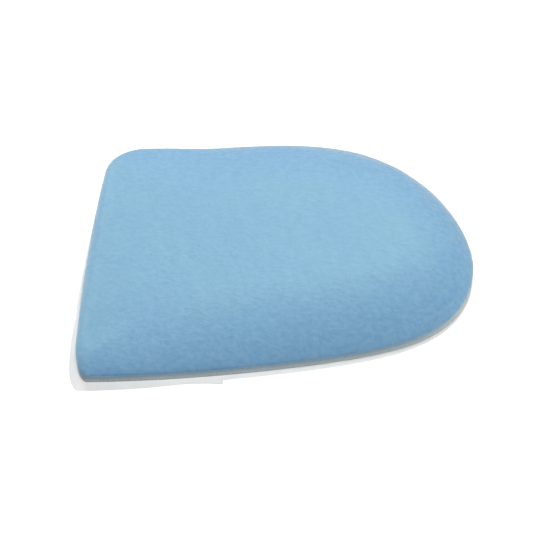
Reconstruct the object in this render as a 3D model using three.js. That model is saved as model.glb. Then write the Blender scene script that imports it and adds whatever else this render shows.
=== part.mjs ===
// A heel wedge: a foam pad under a brushed fabric cover, thin at its straight front edge and thick at
// its round heel end, with a split release liner still on its sticky underside.
// Millimetres. +X runs from the front edge to the heel, +Y to the far side and +Z up.
// The origin is under the middle of the whole part, on the surface that it rests on.
import * as THREE from "three";
import { ParametricGeometry } from "three/addons/geometries/ParametricGeometry.js";

// Plan of the pad
const LENGTH = 95; // front edge to heel tip
const WIDTH = 68; // across the sides
const SIDE_POWER = 4.6; // how late the sides start to close towards the heel
const HEEL_POWER = 1.88; // fullness of the heel end, 2 is an ellipse
const SIDE_BOW = 4.56; // how far the centre line bows to the far side
const BOW_POWER = 1.65; // above 1 the bow is deepest behind the middle
const FRONT_BOW = 0.85; // how far the front edge swells at its middle
const FAR_SWELL = 1.15; // how much wider the far side is at the front
const SWELL = { full: 0.12, end: 0.32 }; // where that starts to fade and where it ends, in lengths

// Front corners, each with its reach down the side and across the front edge
const PAD_CORNERS = { near: { along: 3.8, across: 10.4 }, far: { along: 9.2, across: 9.7 } };
const LINER_CORNERS = { near: { along: 2.6, across: 17 }, far: { along: 8.7, across: 9.2 } };

// Section of the pad
const FRONT_THICKNESS = 4.5;
const HEEL_THICKNESS = 10;
const CROWN = 0.8; // extra rise at the middle of the top
const FRONT_ROLL = 3.5; // width of the rounded edge along the front
const CORNER_ROLL = 10.5; // and next to the front corners
const SIDE_ROLL = 20; // and along the sides and the heel
const FRONT_SHOULDER = 28; // width over which the top of the front part falls off to the sides
const CORNER_REACH = 0.06; // share of the length over which the front's rounding grows into the corners'
const ROLL_REACH = 0.35; // and the corners' into the sides'
const LIP_HEIGHT = 0.4; // the widest line of the edge, above the underside
const LIP_TUCK = 0.1; // how far the edge turns in below that line
const RIM_HEIGHT = 1.1; // how far the foam shows as a bare rim below the cover
const RIDGE = { front: -0.3, heel: 0.2 }; // ends of the line that the edge rolls towards, in lengths

// Layers
const FABRIC = 1.2; // thickness of the cover
const PAPER = 0.4; // thickness of the liner with its adhesive
const GAP = 0.3; // clearance between pieces
const COVER_EDGE = RIM_HEIGHT + GAP; // the cover's lower edge, above the underside

// Release liner
const SLIT_X = -12.6; // where the liner is slit across
const SLIT_GAP = 0.3;
const SLIT_FLARE = 1.15; // how far the front liner's near corner at the slit is bent outwards
const SLIT_FLARE_REACH = 10;
const SPREAD_REACH = 31; // how far from the near front corner the liner's extra margin fades
const FRONT_LINER = { margin: 0.3, spread: 1.5, corners: LINER_CORNERS, shift: { x: 0, y: 0 } };
const HEEL_LINER = { margin: 0.3, spread: 0, corners: LINER_CORNERS, shift: { x: -0.45, y: -0.5 } };

// Resolution
const AROUND = 108; // points round the pad
const FRONT_SHARE = 0.08; // share of them on each half of the front edge
const ROWS = 13; // rows from the cover's lower edge to the middle of the top
const ROLL_SHARE = 8 / ROWS; // share of them on the rounded edge
const LINER_POINTS = 120;
const EDGE_STEP = 0.01; // least distance from the side at which the shoulder is taken

const PAD_PLAN = { margin: 0, spread: 0, corners: PAD_CORNERS, shift: { x: 0, y: 0 } };
const NEAR_FRONT = new THREE.Vector2(-LENGTH / 2, -WIDTH / 2);

const { clamp, lerp, smoothstep } = THREE.MathUtils;

function centreLine(s) {
  return SIDE_BOW * Math.sin(Math.PI * s ** BOW_POWER);
}

function halfWidth(s, far) {
  const half = (WIDTH / 2) * Math.max(0, 1 - s ** SIDE_POWER) ** (1 / HEEL_POWER);
  return far ? half + FAR_SWELL * (1 - smoothstep(s, SWELL.full, SWELL.end)) : half;
}

// A point of the plan's edge. `turn` runs from 0 at the middle of the front edge, along the near side,
// to 0.5 at the heel tip and back to 1 along the far side.
function edgePoint(turn, corners) {
  const near = turn <= 0.5;
  const side = near ? -1 : 1;
  const corner = near ? corners.near : corners.far;
  const t = near ? turn : 1 - turn;
  if (t < FRONT_SHARE) {
    const across = t / FRONT_SHARE;
    const swell = FRONT_BOW * (1 - across ** 2);
    const y = side * across * (halfWidth(0, !near) - corner.across);
    return new THREE.Vector2(-LENGTH / 2 - swell, y);
  }
  const along = (t - FRONT_SHARE) / (0.5 - FRONT_SHARE);
  const s = 0.5 * (1 - Math.cos(Math.PI * along));
  const inCorner = clamp(1 - (s * LENGTH) / corner.along, 0, 1);
  const cut = corner.across * (1 - Math.sqrt(1 - inCorner ** 2));
  return new THREE.Vector2((s - 0.5) * LENGTH, centreLine(s) + side * (halfWidth(s, !near) - cut));
}

// The same point moved out along the edge's normal by the plan's margin, or in where that is negative,
// and then by the plan's shift. The margin grows by the plan's spread at the near front corner.
function planPoint(turn, plan) {
  const point = edgePoint(turn, plan.corners);
  const step = 0.002;
  const ahead = edgePoint((turn + step) % 1, plan.corners);
  const behind = edgePoint((turn + 1 - step) % 1, plan.corners);
  const tangent = ahead.sub(behind).normalize();
  const fade = Math.exp(-((point.distanceTo(NEAR_FRONT) / SPREAD_REACH) ** 2));
  const margin = plan.margin + plan.spread * fade;
  point.x += tangent.y * margin + plan.shift.x;
  point.y += -tangent.x * margin + plan.shift.y;
  return point;
}

function lengthShare(x) {
  return clamp(x / LENGTH + 0.5, 0, 1);
}

// The pad's thickness away from its edges: the wedge's slope and a slight crown over it.
function thickness(point) {
  const s = lengthShare(point.x);
  const alongCrown = 1 - (2 * s - 1) ** 2;
  const acrossCrown = 1 - ((point.y - centreLine(s)) / (WIDTH / 2)) ** 2;
  const slope = lerp(FRONT_THICKNESS, HEEL_THICKNESS, s);
  return slope + CROWN * alongCrown * Math.max(0, acrossCrown);
}

// The way from a point of the edge to the ridge line.
function inwardsFrom(edge) {
  const ridgeX = clamp(edge.x, RIDGE.front * LENGTH, RIDGE.heel * LENGTH);
  const ridge = new THREE.Vector2(ridgeX, centreLine(lengthShare(ridgeX)));
  return ridge.sub(edge).normalize();
}

// The rise of a quarter circle, from 0 to 1, over a share of its width.
function quarterRound(share) {
  const part = clamp(share, 0, 1);
  return Math.sqrt(part * (2 - part));
}

// A width that goes straight from its front value to that of the sides' rounded edge.
function sideWidth(s, front) {
  return lerp(front, SIDE_ROLL, clamp(s / ROLL_REACH, 0, 1));
}

// How much lower the front part lies for its wide shoulders, against the rounded edge alone.
function sideShoulder(point) {
  const s = lengthShare(point.x);
  const offCentre = point.y - centreLine(s);
  const offSide = Math.max(halfWidth(s, offCentre > 0) - Math.abs(offCentre), EDGE_STEP);
  const wide = quarterRound(offSide / sideWidth(s, FRONT_SHOULDER));
  return wide / quarterRound(offSide / sideWidth(s, CORNER_ROLL));
}

// A point of the pad's skin, `inset` below its outside. `climb` runs from 0 at the height `low`, over
// the rounded edge, to 1 at the middle of the top.
function skinPoint(turn, climb, low, inset, target) {
  const edge = planPoint(turn, { ...PAD_PLAN, margin: -inset });
  const s = lengthShare(edge.x);
  const span = sideWidth(s, CORNER_ROLL);
  const roll = lerp(FRONT_ROLL, span, clamp(s / CORNER_REACH, 0, 1));
  const foot = (low - LIP_HEIGHT) / (thickness(edge) - inset - LIP_HEIGHT);
  const start = roll * (1 - Math.sqrt(1 - foot ** 2));
  const angle = (Math.PI / 2) * clamp(climb / ROLL_SHARE, 0, 1);
  const distance = lerp(start, span, 1 - Math.cos(angle));
  const point = edge.clone().addScaledVector(inwardsFrom(edge), distance);
  const middle = new THREE.Vector2(0, centreLine(0.5));
  point.lerp(middle, clamp((climb - ROLL_SHARE) / (1 - ROLL_SHARE), 0, 1));
  const top = thickness(point) - inset;
  const z = LIP_HEIGHT + (top - LIP_HEIGHT) * quarterRound(distance / roll);
  return target.set(point.x, point.y, low + (z - low) * sideShoulder(point));
}

// A point of the underside's edge, turned in below the widest line.
function footPoint(turn, target) {
  const edge = planPoint(turn, PAD_PLAN);
  edge.addScaledVector(inwardsFrom(edge), LIP_TUCK);
  return target.set(edge.x, edge.y, 0);
}

// The cover: its outside from the middle of the top to its lower edge, then its inside back up.
function coverGeometry() {
  const rows = 2 * ROWS + 1;
  function at(u, v, target) {
    const row = Math.round(v * rows);
    const inside = row > ROWS;
    const climb = inside ? (row - ROWS - 1) / ROWS : 1 - row / ROWS;
    skinPoint(1 - u, climb, COVER_EDGE, inside ? FABRIC : 0, target);
  }
  return new ParametricGeometry(at, AROUND, rows);
}

// The foam: the cover's inside less a clearance, then out under the cover's edge to the bare rim, and
// closed across the flat underside.
function foamGeometry() {
  const rim = [
    (turn, target) => skinPoint(turn, 0, RIM_HEIGHT, 0, target),
    (turn, target) => skinPoint(turn, 0, LIP_HEIGHT, 0, target),
    footPoint,
    (turn, target) => target.set(0, centreLine(0.5), 0),
  ];
  const rows = ROWS + rim.length;
  function at(u, v, target) {
    const row = Math.round(v * rows);
    if (row > ROWS) {
      rim[row - ROWS - 1](1 - u, target);
      return;
    }
    skinPoint(1 - u, 1 - row / ROWS, RIM_HEIGHT, FABRIC + GAP, target);
  }
  return new ParametricGeometry(at, AROUND, rows);
}

// Where along the near side the plan's edge passes x.
function turnAt(x) {
  const along = Math.acos(1 - 2 * lengthShare(x)) / Math.PI;
  return FRONT_SHARE + along * (0.5 - FRONT_SHARE);
}

function sheetGeometry(points) {
  return new THREE.ExtrudeGeometry(new THREE.Shape(points), { depth: PAPER, bevelEnabled: false });
}

function frontLinerGeometry() {
  const slit = turnAt(SLIT_X - SLIT_GAP / 2 - FRONT_LINER.shift.x);
  const points = [];
  for (let i = 0; i <= LINER_POINTS; i += 1) {
    const turn = slit * (1 - (2 * i) / LINER_POINTS);
    const point = planPoint((turn + 1) % 1, FRONT_LINER);
    const flare = SLIT_FLARE * clamp(1 - (SLIT_X - point.x) / SLIT_FLARE_REACH, 0, 1) ** 2;
    point.y -= i < LINER_POINTS / 2 ? flare : 0;
    points.push(point);
  }
  return sheetGeometry(points);
}

function heelLinerGeometry() {
  const slit = turnAt(SLIT_X + SLIT_GAP / 2 - HEEL_LINER.shift.x);
  const points = [];
  for (let i = 0; i <= LINER_POINTS; i += 1) {
    const turn = lerp(slit, 1 - slit, i / LINER_POINTS);
    points.push(planPoint(turn, HEEL_LINER));
  }
  return sheetGeometry(points);
}

function piece(name, geometry, material, z) {
  const mesh = new THREE.Mesh(geometry, material);
  mesh.name = name;
  mesh.position.z = z;
  return mesh;
}

const fabric = new THREE.MeshStandardMaterial({ color: 0x93bfdc, roughness: 0.95, metalness: 0 });
const foam = new THREE.MeshStandardMaterial({ color: 0xb9bcba, roughness: 0.9, metalness: 0 });
const paper = new THREE.MeshStandardMaterial({ color: 0xe9ebec, roughness: 0.45, metalness: 0 });

const padBase = PAPER + GAP;
const pieces = new THREE.Group();
pieces.add(piece("fabric_cover", coverGeometry(), fabric, padBase));
pieces.add(piece("foam_wedge", foamGeometry(), foam, padBase));
pieces.add(piece("liner_front", frontLinerGeometry(), paper, 0));
pieces.add(piece("liner_heel", heelLinerGeometry(), paper, 0));

// The part stands over the middle of its own extent.
const middle = new THREE.Box3().setFromObject(pieces).getCenter(new THREE.Vector3());
pieces.position.set(-middle.x, -middle.y, 0);

const heelWedge = new THREE.Group();
heelWedge.name = "heel_wedge";
heelWedge.add(pieces);

export default heelWedge;
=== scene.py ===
import bpy
import numpy as np
from mathutils import Matrix, Vector


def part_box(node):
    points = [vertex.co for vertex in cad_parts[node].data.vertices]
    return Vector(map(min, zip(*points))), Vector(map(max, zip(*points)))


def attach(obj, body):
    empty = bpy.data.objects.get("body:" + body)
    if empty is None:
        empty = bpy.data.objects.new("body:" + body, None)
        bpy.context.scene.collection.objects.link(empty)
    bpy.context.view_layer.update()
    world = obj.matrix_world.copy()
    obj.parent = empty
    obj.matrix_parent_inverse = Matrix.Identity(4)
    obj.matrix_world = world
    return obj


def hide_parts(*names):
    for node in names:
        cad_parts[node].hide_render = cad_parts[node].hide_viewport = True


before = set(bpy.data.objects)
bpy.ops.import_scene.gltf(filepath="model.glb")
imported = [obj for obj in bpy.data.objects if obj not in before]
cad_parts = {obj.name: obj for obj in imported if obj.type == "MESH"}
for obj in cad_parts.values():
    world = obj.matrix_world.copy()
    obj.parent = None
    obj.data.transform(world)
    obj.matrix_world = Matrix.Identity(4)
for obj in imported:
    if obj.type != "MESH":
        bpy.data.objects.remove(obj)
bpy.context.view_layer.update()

# Release liner: white coated paper over the sticky underside of the pad, slit across so that it peels
# off in two parts. It is die-cut a little larger than the pad, and the front part stands out most at
# the near front corner.
MM = 0.001
LENGTH, WIDTH = 95.0, 68.0
SIDE_POWER, HEEL_POWER = 4.6, 1.88
SIDE_BOW, BOW_POWER = 4.56, 1.65
FRONT_BOW, FRONT_SHARE = 0.85, 0.08
FAR_SWELL, SWELL_FULL, SWELL_END = 1.15, 0.12, 0.32
PAPER = 0.15
SLIT_X, SLIT_GAP = -12.6, 0.06
SLIT_FLARE, SLIT_FLARE_REACH = 1.15, 10.0
MARGIN, FRONT_SPREAD, SPREAD_REACH = 0.3, 1.5, 31.0
# near and far front corner, each with its reach down the side and across the front edge
PAD_CORNERS = (3.8, 10.4), (9.2, 9.7)
LINER_CORNERS = (2.6, 17.0), (8.7, 9.2)


def centre_line(s):
    """The pad's middle, which bows to the far side: a half sine of s raised to a power, s from 0 to 1."""
    return SIDE_BOW * np.sin(np.pi * np.clip(s, 0, 1) ** BOW_POWER)


def half_width(s, far):
    """Half of a superellipse's width: (1 - s^p)^(1/q), straight at the front and round at the heel. The far
    side is a little wider at the front, and that ends with a smooth step: 3t^2 - 2t^3."""
    half = 0.5 * WIDTH * np.maximum(0, 1 - s**SIDE_POWER) ** (1 / HEEL_POWER)
    t = np.clip((s - SWELL_FULL) / (SWELL_END - SWELL_FULL), 0, 1)
    return half + np.where(far, FAR_SWELL * (1 - t * t * (3 - 2 * t)), 0.0)


def plan_edge(turn, corners):
    """Points of the plan's edge. From turn 0, the middle of the front edge, they run along the near side
    to the heel tip at 0.5 and back along the far side. The front edge swells as a parabola, and each front
    corner is a quarter ellipse taken off the half width."""
    near = turn <= 0.5
    side = np.where(near, -1.0, 1.0)
    down, inwards = np.moveaxis(np.where(near[..., None], *corners), -1, 0)
    t = np.where(near, turn, 1 - turn)
    across = np.clip(t / FRONT_SHARE, 0, 1)
    along = np.clip((t - FRONT_SHARE) / (0.5 - FRONT_SHARE), 0, 1)
    s = 0.5 * (1 - np.cos(np.pi * along))
    in_corner = np.clip(1 - s * LENGTH / down, 0, 1)
    half = half_width(s, ~near) - inwards * (1 - np.sqrt(1 - in_corner**2))
    x = (s - 0.5) * LENGTH - FRONT_BOW * (1 - across**2)
    return np.stack([x, centre_line(s) + side * half * across], -1)


def plan_offset(turn, margin, corners, spread=0.0):
    """The plan's edge moved out along its normal, which is the tangent turned by 90 degrees. The margin
    grows by the spread at the near front corner, and that fades as exp(-d^2) with the distance from it."""
    step = 0.002
    edge = plan_edge(turn, corners)
    tangent = plan_edge((turn + step) % 1, corners) - plan_edge((turn - step) % 1, corners)
    tangent /= np.linalg.norm(tangent, axis=-1, keepdims=True)
    normal = np.stack([tangent[..., 1], -tangent[..., 0]], -1)
    distance = np.linalg.norm(edge + 0.5 * np.array([LENGTH, WIDTH]), axis=-1, keepdims=True)
    return edge + normal * (margin + spread * np.exp(-((distance / SPREAD_REACH) ** 2)))


def turn_at(x):
    """Where along the near side the plan's edge passes x."""
    return FRONT_SHARE + np.arccos(-2 * x / LENGTH) / np.pi * (0.5 - FRONT_SHARE)


PLAN_POINTS = 4001
whole_plan = plan_edge(np.linspace(0, 1, PLAN_POINTS), PAD_CORNERS)
foam_low = np.array(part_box("foam_wedge")[0]) / MM
PAD_PLACE = np.append(foam_low[:2] - whole_plan.min(0), 0.0)


def new_piece(name, points, faces, smooth=True):
    """A mesh object from points in the pad's own millimetres and rows of face indices."""
    mesh = bpy.data.meshes.new(name)
    mesh.from_pydata((points + PAD_PLACE) * MM, [], faces)
    mesh.polygons.foreach_set("use_smooth", np.full(len(mesh.polygons), smooth))
    mesh.update()
    piece = bpy.data.objects.new(name, mesh)
    bpy.context.scene.collection.objects.link(piece)
    return piece


def linear(red, green, blue):
    """A display colour from 0 to 255 as the linear colour that a shader takes."""
    c = np.array([red, green, blue]) / 255
    return (*np.where(c <= 0.04045, c / 12.92, ((c + 0.055) / 1.055) ** 2.4), 1.0)


def new_material(name, roughness):
    """An empty node material: its tree, its Principled shader and its Object coordinates."""
    material = bpy.data.materials.new(name)
    material.use_nodes = True
    tree = material.node_tree
    shader = tree.nodes["Principled BSDF"]
    shader.inputs["Roughness"].default_value = roughness
    return material, tree, shader, tree.nodes.new("ShaderNodeTexCoord").outputs["Object"]


def noise(tree, place, scale, detail=2.0, roughness=0.5):
    """A noise from 0 to 1 with `scale` features to the metre."""
    made = tree.nodes.new("ShaderNodeTexNoise")
    made.inputs["Scale"].default_value = scale
    made.inputs["Detail"].default_value = detail
    made.inputs["Roughness"].default_value = roughness
    tree.links.new(place, made.inputs["Vector"])
    return made.outputs["Fac"]


def ramp(tree, amount, low, low_colour, high, high_colour):
    """A colour that goes from one to another as the amount goes from low to high."""
    made = tree.nodes.new("ShaderNodeValToRGB")
    first, last = made.color_ramp.elements
    first.position, first.color = low, low_colour
    last.position, last.color = high, high_colour
    tree.links.new(amount, made.inputs["Fac"])
    return made.outputs["Color"]


def raise_surface(tree, shader, height, strength, depth):
    """Tilts the shader's normal as a relief of that depth in millimetres would."""
    made = tree.nodes.new("ShaderNodeBump")
    made.inputs["Strength"].default_value = strength
    made.inputs["Distance"].default_value = depth * MM
    tree.links.new(height, made.inputs["Height"])
    tree.links.new(made.outputs["Normal"], shader.inputs["Normal"])


def close_sheet(top, thickness):
    """A grid of top points, the same grid lowered by the thickness, and quads round the rim."""
    rows, columns = top.shape[:2]
    number = np.arange(rows * columns).reshape(rows, columns)
    count = rows * columns
    upper = np.stack([number[:-1, :-1], number[1:, :-1], number[1:, 1:], number[:-1, 1:]], -1).reshape(-1, 4)
    rim = np.concatenate([number[0, :-1], number[:-1, -1], number[-1, :0:-1], number[:0:-1, 0]])
    after = np.roll(rim, -1)
    sides = np.stack([rim, after, after + count, rim + count], -1)
    points = np.concatenate([top, top - np.array([0, 0, thickness])]).reshape(-1, 3)
    return points, np.concatenate([upper, upper[:, ::-1] + count, sides])


paper, tree, shader, place = new_material("liner_paper", roughness=0.42)
pulp = noise(tree, place, scale=260.0, detail=5.0)
sizing = ramp(tree, pulp, 0.3, linear(237, 238, 239), 0.7, linear(243, 244, 245))
tree.links.new(sizing, shader.inputs["Base Color"])
grain = noise(tree, place, scale=2600.0, detail=3.0)
raise_surface(tree, shader, grain, strength=0.15, depth=0.1)
shader.inputs["Coat Weight"].default_value = 0.15
shader.inputs["Coat Roughness"].default_value = 0.3

# turns just past the middle of the front edge and just short of the heel tip
FRONT_TURN, HEEL_TURN = 0.0025, 0.497
NO_SLIP, HEEL_SLIP = (0.0, 0.0), (-0.45, -0.5)
LINER_ROWS, LINER_COLUMNS = 180, 64
# node, first and last turn along the near side, spread, slip, flare of the slit corner
LINERS = [
    ("liner_front", FRONT_TURN, turn_at(SLIT_X - SLIT_GAP / 2), FRONT_SPREAD, NO_SLIP, SLIT_FLARE),
    ("liner_heel", turn_at(SLIT_X + SLIT_GAP / 2 - HEEL_SLIP[0]), HEEL_TURN, 0.0, HEEL_SLIP, 0.0),
]
for node, first, last, spread, slip, flare in LINERS:
    turns = np.linspace(first, last, LINER_ROWS)
    across = np.linspace(0, 1, LINER_COLUMNS)[:, None]
    near = plan_offset(turns, MARGIN, LINER_CORNERS, spread) + slip
    far = plan_offset(1 - turns, MARGIN, LINER_CORNERS, spread) + slip
    near[:, 1] -= flare * np.clip(1 - (SLIT_X - near[:, 0]) / SLIT_FLARE_REACH, 0, 1) ** 2
    flat = near[:, None] * (1 - across) + far[:, None] * across
    top = np.concatenate([flat, np.full_like(flat[..., :1], PAPER)], -1)
    liner = new_piece(node + "_paper", *close_sheet(top, PAPER), smooth=False)
    liner.data.materials.append(paper)
    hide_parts(node)
    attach(liner, "root")

# Foam wedge: a moulded closed-cell pad, thin at the straight front edge and thick at the round heel,
# with a flat sticky underside. The cover is bonded over it, and below that the foam shows as a pale rim.
# Its colour there is painted light and shade: paler at its foot, where it meets the liner, and darker and
# bluer up towards the cover's trimmed edge.
FRONT_THICKNESS, HEEL_THICKNESS, CROWN = 4.5, 10.0, 0.8
FRONT_ROLL, CORNER_ROLL, SIDE_ROLL = 3.5, 10.5, 20.0
FRONT_SHOULDER, ROLL_REACH, CORNER_REACH, EDGE_STEP = 28.0, 0.35, 0.06, 0.01
LIP_HEIGHT, RIM_INSET, RIM_FLARE = 0.4, 0.65, 0.25
AROUND, RIM_ROWS, CORE_ROLL_ROWS, CORE_TOP_ROWS = 480, 8, 20, 10
RIDGE_FRONT, RIDGE_HEEL = -0.3 * LENGTH, 0.2 * LENGTH
MIDDLE = np.array([0.0, centre_line(0.5)])
FABRIC, BOND = 1.2, 0.02
pad_base = np.array([0.0, 0.0, foam_low[2]])
SETTLE = foam_low[2] - PAPER - BOND
COVER_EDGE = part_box("fabric_cover")[0].z / MM - foam_low[2]


def length_share(x):
    """How far x lies from the front edge to the heel tip, from 0 to 1."""
    return np.clip(x / LENGTH + 0.5, 0, 1)


def pad_height(plan):
    """The wedge's straight slope, with a crown over it that is a parabola both ways."""
    s = length_share(plan[..., 0])
    off_centre = (plan[..., 1] - centre_line(s)) / (WIDTH / 2)
    crown = (1 - (2 * s - 1) ** 2) * np.maximum(0, 1 - off_centre**2)
    return FRONT_THICKNESS + (HEEL_THICKNESS - FRONT_THICKNESS) * s + CROWN * crown


def inwards_from(edge):
    """The unit vectors from points of the edge to the ridge line that the edge rolls towards."""
    ridge_x = np.clip(edge[:, 0], RIDGE_FRONT, RIDGE_HEEL)
    to_ridge = np.stack([ridge_x, centre_line(length_share(ridge_x))], -1) - edge
    return to_ridge / np.linalg.norm(to_ridge, axis=-1, keepdims=True)


def quarter_round(share):
    """The rise of a quarter circle, from 0 to 1, over a share of its width."""
    share = np.clip(share, 0, 1)
    return np.sqrt(share * (2 - share))


def side_width(s, front):
    """A width that goes straight from its front value to that of the sides' rounded edge."""
    return front + (SIDE_ROLL - front) * np.clip(s / ROLL_REACH, 0, 1)


def side_shoulder(plan):
    """How much lower the front part lies for its wide shoulders: their quarter round over the narrower one
    that the rows already follow. Behind the front part both are the same."""
    s = length_share(plan[..., 0])
    off_centre = plan[..., 1] - centre_line(s)
    off_side = np.maximum(half_width(s, off_centre > 0) - np.abs(off_centre), EDGE_STEP)
    wide = quarter_round(off_side / side_width(s, FRONT_SHOULDER))
    return wide / quarter_round(off_side / side_width(s, CORNER_ROLL))


def pad_skin(turns, inset, low, roll_rows, top_rows=0):
    """Rows of points from the height `low` to the middle of the top, at a depth below the pad's outside.
    Across the rounded edge the rows lie at distances of one less the cosine of an angle, and their height
    is a quarter round of that distance. The front edge is rounded least. The top runs on straight."""
    edge = plan_offset(turns, -inset, PAD_CORNERS)
    s = length_share(edge[:, 0])
    span = side_width(s, CORNER_ROLL)
    roll = FRONT_ROLL + (span - FRONT_ROLL) * np.clip(s / CORNER_REACH, 0, 1)
    foot = (low - LIP_HEIGHT) / (pad_height(edge) - inset - LIP_HEIGHT)
    start = roll * (1 - np.sqrt(1 - foot**2))
    angle = np.linspace(0, np.pi / 2, roll_rows)[:, None]
    distance = start + (span - start) * (1 - np.cos(angle))
    rolled = edge + inwards_from(edge) * distance[..., None]
    climb = np.linspace(0, 1, top_rows + 1)[1:, None, None]
    plan = np.concatenate([rolled, rolled[-1] * (1 - climb) + MIDDLE * climb])
    rise = np.concatenate([quarter_round(distance / roll), np.ones((top_rows, len(turns)))])
    z = LIP_HEIGHT + (pad_height(plan) - inset - LIP_HEIGHT) * rise
    z = low + (z - low) * side_shoulder(plan)
    return np.concatenate([plan, z[..., None]], -1)


def close_rows(rows):
    """Quads round each pair of rows, and a fan at each end, where a row has drawn in to one point."""
    count = rows.shape[1]
    points = np.concatenate([rows[1:-1].reshape(-1, 3), rows[[0, -1], 0]])
    here = np.arange(count)
    after = (here + 1) % count
    start = (np.arange(len(rows) - 3) * count)[:, None]
    quads = np.stack([start + here, start + after, start + count + after, start + count + here], -1)
    last = (len(rows) - 3) * count
    first_fan = np.stack([after, here, np.full(count, len(points) - 2)], -1)
    last_fan = np.stack([last + here, last + after, np.full(count, len(points) - 1)], -1)
    return points, quads.reshape(-1, 4).tolist() + first_fan.tolist() + last_fan.tolist()


# sockets of a colour mix: its share, its two colours and its result
MIX_SHARE, MIX_FIRST, MIX_SECOND, MIX_RESULT = 0, 6, 7, 2


def multiply_colours(tree, first, second):
    """Two colours multiplied with each other."""
    made = tree.nodes.new("ShaderNodeMix")
    made.data_type, made.blend_type = "RGBA", "MULTIPLY"
    made.inputs[MIX_SHARE].default_value = 1.0
    tree.links.new(first, made.inputs[MIX_FIRST])
    tree.links.new(second, made.inputs[MIX_SECOND])
    return made.outputs[MIX_RESULT]


WHITE = (1.0, 1.0, 1.0, 1.0)
foam_rubber, tree, shader, place = new_material("foam", roughness=0.92)
cells = tree.nodes.new("ShaderNodeTexVoronoi")
cells.inputs["Scale"].default_value = 2200.0
tree.links.new(place, cells.inputs["Vector"])
skin = ramp(tree, cells.outputs["Distance"], 0.0, linear(214, 222, 225), 1.0, linear(234, 241, 244))
level = tree.nodes.new("ShaderNodeSeparateXYZ")
tree.links.new(place, level.inputs["Vector"])
up_rim = tree.nodes.new("ShaderNodeMapRange")
up_rim.inputs["From Min"].default_value = PAPER * MM
up_rim.inputs["From Max"].default_value = (foam_low[2] + COVER_EDGE) * MM
tree.links.new(level.outputs["Z"], up_rim.inputs["Value"])
# painted light and shade on the rim: white at its foot against the liner, darker and bluer up under the
# cover's edge
painted_rim_light_and_shade = ramp(tree, up_rim.outputs["Result"], 0.05, WHITE, 0.75, (0.46, 0.66, 0.78, 1.0))
tree.links.new(multiply_colours(tree, skin, painted_rim_light_and_shade), shader.inputs["Base Color"])
raise_surface(tree, shader, cells.outputs["Distance"], strength=0.5, depth=0.2)

around = np.arange(AROUND) / AROUND
edge = plan_edge(around, PAD_CORNERS)
rim_plan = edge + (RIM_INSET - RIM_FLARE) * inwards_from(edge)
rim_foot = np.column_stack([rim_plan, np.full(len(edge), -SETTLE)])
rim_top = pad_skin(around, RIM_INSET, COVER_EDGE - BOND, 1)[0]
up = np.linspace(0, 1, RIM_ROWS)[:, None, None]
rim = rim_foot + (rim_top - rim_foot) * np.concatenate([1 - (1 - up) ** 2] * 2 + [up], -1)
underside = np.broadcast_to(np.append(MIDDLE, -SETTLE), rim_foot.shape)
core = pad_skin(around, FABRIC + BOND, COVER_EDGE - BOND, CORE_ROLL_ROWS, CORE_TOP_ROWS)
foam = new_piece("foam_core", *close_rows(np.concatenate([[underside], rim, core]) + pad_base))
foam.data.materials.append(foam_rubber)
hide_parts("foam_wedge")
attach(foam, "root")

# Fabric cover: a brushed knit with a short soft nap, pale blue, stretched over the foam and bonded to
# it. It runs over the rounded edges and is trimmed a little above the liner.
ROLL_ROWS, TOP_ROWS, INSIDE_ROLL_ROWS, INSIDE_TOP_ROWS = 60, 46, 16, 6
TURN_IN_REACH, WAVE_REACH, SHADE_FADE_REACH, SHOULDER_SLOPE = 1.6, 2.0, 5.0, 0.375
# height, seed and length of each slow unevenness
WAVES = (0.03, 3, 16.0), (0.015, 5, 5.0)
SHORT_WAVE, LONG_WAVE, LEAST_UPRIGHT = 0.6, 1.6, 1e-6


def slow_waves(points, seed, size, count=24):
    """A smooth unevenness of about -1 to 1: plane sine waves, about `size` mm long, in random directions."""
    chance = np.random.default_rng(seed)
    heading = chance.uniform(0, 2 * np.pi, count)
    pitch = 2 * np.pi / (size * chance.uniform(SHORT_WAVE, LONG_WAVE, count))
    ways = np.stack([np.cos(heading), np.sin(heading)]) * pitch
    return np.sin(points[..., :2] @ ways + chance.uniform(0, 2 * np.pi, count)).sum(-1) / np.sqrt(count)


def steepness(rows):
    """The slope at each point of closed rows: the normal's level part over its upright part, the normal being
    the cross product of the steps along and across the rows."""
    along = np.roll(rows, -1, axis=1) - np.roll(rows, 1, axis=1)
    normal = np.cross(along, np.gradient(rows, axis=0))
    return np.linalg.norm(normal[..., :2], axis=-1) / np.maximum(np.abs(normal[..., 2]), LEAST_UPRIGHT)


def blend_amounts(tree, first, second, share):
    """A weighted mean of two amounts."""
    made = tree.nodes.new("ShaderNodeMix")
    made.inputs["Factor"].default_value = share
    tree.links.new(first, made.inputs["A"])
    tree.links.new(second, made.inputs["B"])
    return made.outputs["Result"]


outside = pad_skin(around, 0.0, COVER_EDGE, ROLL_ROWS, TOP_ROWS)
inside = pad_skin(around, FABRIC, COVER_EDGE, INSIDE_ROLL_ROWS, INSIDE_TOP_ROWS)
# the lower edge turns in with the square of its nearness to the trim
turned_in = np.clip(1 - (outside[..., 2:] - COVER_EDGE) / TURN_IN_REACH, 0, 1) ** 2
outside[..., :2] += RIM_INSET * turned_in * inwards_from(edge)
fade = np.clip((outside[..., 2] - COVER_EDGE) / WAVE_REACH, 0, 1)
outside[..., 2] += fade * sum(height * slow_waves(outside, seed, size) for height, seed, size in WAVES)
outside += pad_base
cover = new_piece("cover", *close_rows(np.concatenate([(inside + pad_base)[::-1], outside])))
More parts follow.
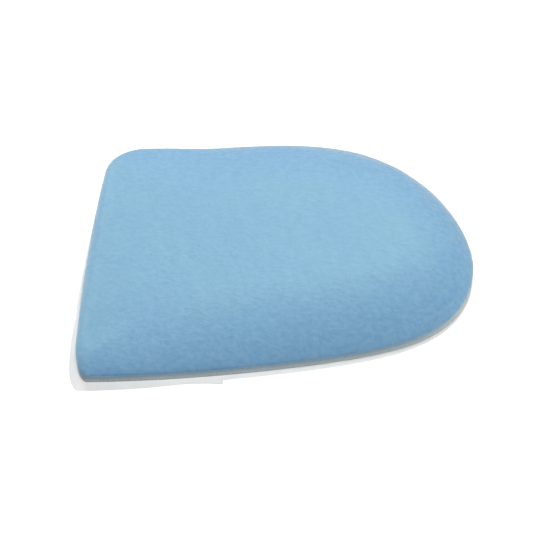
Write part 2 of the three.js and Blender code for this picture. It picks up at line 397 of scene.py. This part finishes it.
# painted shade: the steeper the fabric lies, the darker and bluer it is painted, as shade on its slopes:
# t / sqrt(1 + t^2) of the slope t, fading out over the last few millimetres towards the front edge
slope = steepness(outside) / SHOULDER_SLOPE
painted_shade_share = slope / np.sqrt(1 + slope**2) * np.clip((outside[..., 0] + LENGTH / 2) / SHADE_FADE_REACH, 0, 1)
painted_slope_shade = np.append(np.concatenate([np.zeros(inside.shape[:2]), painted_shade_share])[1:-1], [0.0, 0.0]).astype(np.float32)
cover.data.attributes.new("painted_slope_shade", "FLOAT", "POINT").data.foreach_set("value", painted_slope_shade)

fabric, tree, shader, place = new_material("cover_fabric", roughness=0.95)
courses = tree.nodes.new("ShaderNodeMapping")
courses.inputs["Scale"].default_value = (0.55, 1.0, 1.0)
tree.links.new(place, courses.inputs["Vector"])
clumps = noise(tree, place, scale=850.0, detail=3.0, roughness=0.55)
tufts = blend_amounts(tree, clumps, noise(tree, courses.outputs["Vector"], scale=1050.0), share=0.5)
nap = blend_amounts(tree, tufts, noise(tree, place, scale=3600.0), share=0.15)
dye = ramp(tree, nap, 0.30, linear(145, 192, 222), 0.70, linear(154, 200, 228))
batch = noise(tree, place, scale=90.0)
drift = ramp(tree, batch, 0.3, (0.97, 0.985, 1.0, 1.0), 0.7, (1.0, 1.0, 0.985, 1.0))
painted_shade_reader = tree.nodes.new("ShaderNodeAttribute")
painted_shade_reader.attribute_name = "painted_slope_shade"
painted_shade_grain = tree.nodes.new("ShaderNodeMath")
painted_shade_grain.operation = "MULTIPLY"
tree.links.new(painted_shade_reader.outputs["Fac"], painted_shade_grain.inputs[0])
tree.links.new(ramp(tree, nap, 0.4, WHITE, 0.6, (0.6, 0.6, 0.6, 1.0)), painted_shade_grain.inputs[1])
# painted shade: white on the flat top, darker and bluer where the fabric lies steep
painted_shade_tint = ramp(tree, painted_shade_grain.outputs[0], 0.0, WHITE, 1.0, (0.62, 0.73, 0.90, 1.0))
dye_and_painted_shade = multiply_colours(tree, multiply_colours(tree, dye, drift), painted_shade_tint)
tree.links.new(dye_and_painted_shade, shader.inputs["Base Color"])
raise_surface(tree, shader, nap, strength=0.66, depth=0.45)
shader.inputs["Specular IOR Level"].default_value = 0.2
shader.inputs["Sheen Weight"].default_value = 0.9
shader.inputs["Sheen Roughness"].default_value = 0.35
shader.inputs["Sheen Tint"].default_value = linear(250, 240, 224)
cover.data.materials.append(fabric)
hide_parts("fabric_cover")
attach(cover, "root")

# Nap of the cover: fine fibres that the brushing has raised, leaning mostly towards the heel. They
# soften the outline, and at the trimmed edge a fringe of them hangs over the foam.
NAP, FRINGE, FRINGE_ROWS = 36000, 9000, 3
FIBRE_LENGTH, FIBRE_WIDTH = 0.42, 0.04
FIBRES = NAP + FRINGE
# the way that a raised fibre leans and one in the fringe hangs, and how much they stray from it
NAP_LEAN, FRINGE_LEAN, STRAY = (0.5, -0.2, 0.0), (0.0, 0.0, -1.2), 0.5
# in lengths of a fibre: the shortest and the longest, and how far its bend and its tip stand up and out
SHORTEST, LONGEST = 0.5, 1.2
BEND_UP, BEND_OUT, TIP_UP, TIP_OUT = 0.3, 0.25, 0.5, 0.8
# a fibre is a stem of four corners, tapered at the bend, and a triangle to the tip
TAPER = 0.8
FIBRE_POINTS = 5
chance = np.random.default_rng(11)
# the cells of the cover's grid, with the way they face and their area
ring = np.concatenate([outside, outside[:, :1]], axis=1)[:-1]
corner_a, corner_b, corner_c = ring[:-1, :-1], ring[:-1, 1:], ring[1:, :-1]
facing = np.cross(corner_b - corner_a, corner_c - corner_a).reshape(-1, 3)
patch = np.linalg.norm(facing, axis=1)
# raised fibres stand evenly over the area, and the fringe in the lowest rows of cells
raised = chance.choice(len(patch), NAP, p=patch / patch.sum())
chosen = np.append(raised, chance.integers(0, FRINGE_ROWS * AROUND, FRINGE))
in_fringe = (np.arange(FIBRES) >= NAP)[:, None]
normal = facing[chosen] / patch[chosen, None]
u, v = chance.uniform(0, 1, (2, FIBRES, 1))
root = corner_a.reshape(-1, 3)[chosen]
root = root + u * (corner_b.reshape(-1, 3)[chosen] - root) + v * (corner_c.reshape(-1, 3)[chosen] - root)
# a fibre's lay is its lean and its stray, less what of them runs along the normal
lay = np.where(in_fringe, FRINGE_LEAN, NAP_LEAN) + chance.normal(0, STRAY, (FIBRES, 3))
lay -= normal * (lay * normal).sum(1, keepdims=True)
side = np.cross(normal, lay)
side /= np.linalg.norm(side, axis=1, keepdims=True)
length = FIBRE_LENGTH * chance.uniform(SHORTEST, LONGEST, (FIBRES, 1))
half = 0.5 * FIBRE_WIDTH * side
bend = root + length * (BEND_UP * normal + BEND_OUT * lay)
tip = root + length * (TIP_UP * normal + TIP_OUT * lay)
points = np.stack([root - half, root + half, bend - TAPER * half, bend + TAPER * half, tip], 1).reshape(-1, 3)
start = FIBRE_POINTS * np.arange(FIBRES)[:, None]
stems, tips = start + np.array([0, 1, 3, 2]), start + np.array([2, 3, 4])
fibres = new_piece("cover_nap", points, stems.tolist() + tips.tolist())
shade = np.repeat(chance.uniform(0, 1, FIBRES), FIBRE_POINTS).astype(np.float32)
fibres.data.attributes.new("shade", "FLOAT", "POINT").data.foreach_set("value", shade)

fibre_material, tree, shader, _ = new_material("nap_fibre", roughness=0.9)
each = tree.nodes.new("ShaderNodeAttribute")
each.attribute_name = "shade"
strand = ramp(tree, each.outputs["Fac"], 0.0, linear(146, 190, 218), 1.0, linear(170, 210, 234))
tree.links.new(strand, shader.inputs["Base Color"])
shader.inputs["Specular IOR Level"].default_value = 0.2
fibres.data.materials.append(fibre_material)
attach(fibres, "root")

# Studio: a white light table that glows faintly, a large softbox above, two low warm ones behind on the
# left and on the right, and a camera that looks down at the near side. The room is as pale as the table
# further out, and adds no light.
FLOOR_HALF, FLOOR_Z, GLOW, SOFTBOX = 3.0, -2e-5, 0.52, 0.2
floor_mesh = bpy.data.meshes.new("floor")
floor_corners = np.array([[-1, -1, 0], [1, -1, 0], [1, 1, 0], [-1, 1, 0]]) * FLOOR_HALF
floor_mesh.from_pydata(floor_corners + np.array([0, 0, FLOOR_Z]), [], [(0, 1, 2, 3)])
floor = bpy.data.objects.new("floor", floor_mesh)
bpy.context.scene.collection.objects.link(floor)
white, _, shader, _ = new_material("floor_white", roughness=0.9)
shader.inputs["Base Color"].default_value = (0.7, 0.7, 0.7, 1.0)
shader.inputs["Emission Color"].default_value = WHITE
shader.inputs["Emission Strength"].default_value = GLOW
shader.inputs["Specular IOR Level"].default_value = 0.0
floor_mesh.materials.append(white)

world = bpy.data.worlds.new("studio")
world.use_nodes = True
sky = world.node_tree.nodes["Background"]
sky.inputs["Color"].default_value = WHITE
sky.inputs["Strength"].default_value = GLOW
bpy.context.scene.world = world
world.cycles_visibility.diffuse = False
world.cycles_visibility.glossy = False
bpy.context.scene.view_settings.view_transform = "Standard"


def softbox(name, place, power, colour):
    """A square area light at a place in metres, facing the middle of the pad."""
    lamp = bpy.data.lights.new(name, "AREA")
    lamp.size = SOFTBOX
    lamp.energy = power
    lamp.color = colour
    light = bpy.data.objects.new(name, lamp)
    aim = (Vector((0, 0, 0)) - Vector(place)).to_track_quat("-Z", "Y")
    light.matrix_world = Matrix.LocRotScale(Vector(place), aim, None)
    bpy.context.scene.collection.objects.link(light)


softbox("overhead", (0.0, 0.0, 0.4), 1.17, (0.99, 1.0, 1.01))
softbox("behind_left", (-0.2, 0.314, 0.146), 0.92, (1.0, 0.94, 0.85))
softbox("right", (0.376, 0.0, 0.137), 0.62, (1.0, 0.90, 0.74))

# the camera's height angle and turn about the point that it looks at, and its distance from that
ELEVATION, TURN, DISTANCE = np.radians(57.15), np.radians(1.865), 209.6
FOCAL_PIXELS, PICTURE_PIXELS, SENSOR = 841.5, 533, 36.0
LOOK_AT = np.array([-3.685, -0.734, 0.0]) + PAD_PLACE
back = np.array([np.sin(TURN) * np.cos(ELEVATION), -np.cos(TURN) * np.cos(ELEVATION), np.sin(ELEVATION)])
lens = bpy.data.cameras.new("camera")
lens.sensor_width = SENSOR
lens.lens = SENSOR * FOCAL_PIXELS / PICTURE_PIXELS
lens.clip_start = 0.01
camera = bpy.data.objects.new("camera", lens)
eye = Vector((LOOK_AT + DISTANCE * back) * MM)
camera.matrix_world = Matrix.LocRotScale(eye, Vector(-back).to_track_quat("-Z", "Y"), None)
bpy.context.scene.collection.objects.link(camera)
bpy.context.scene.camera = camera
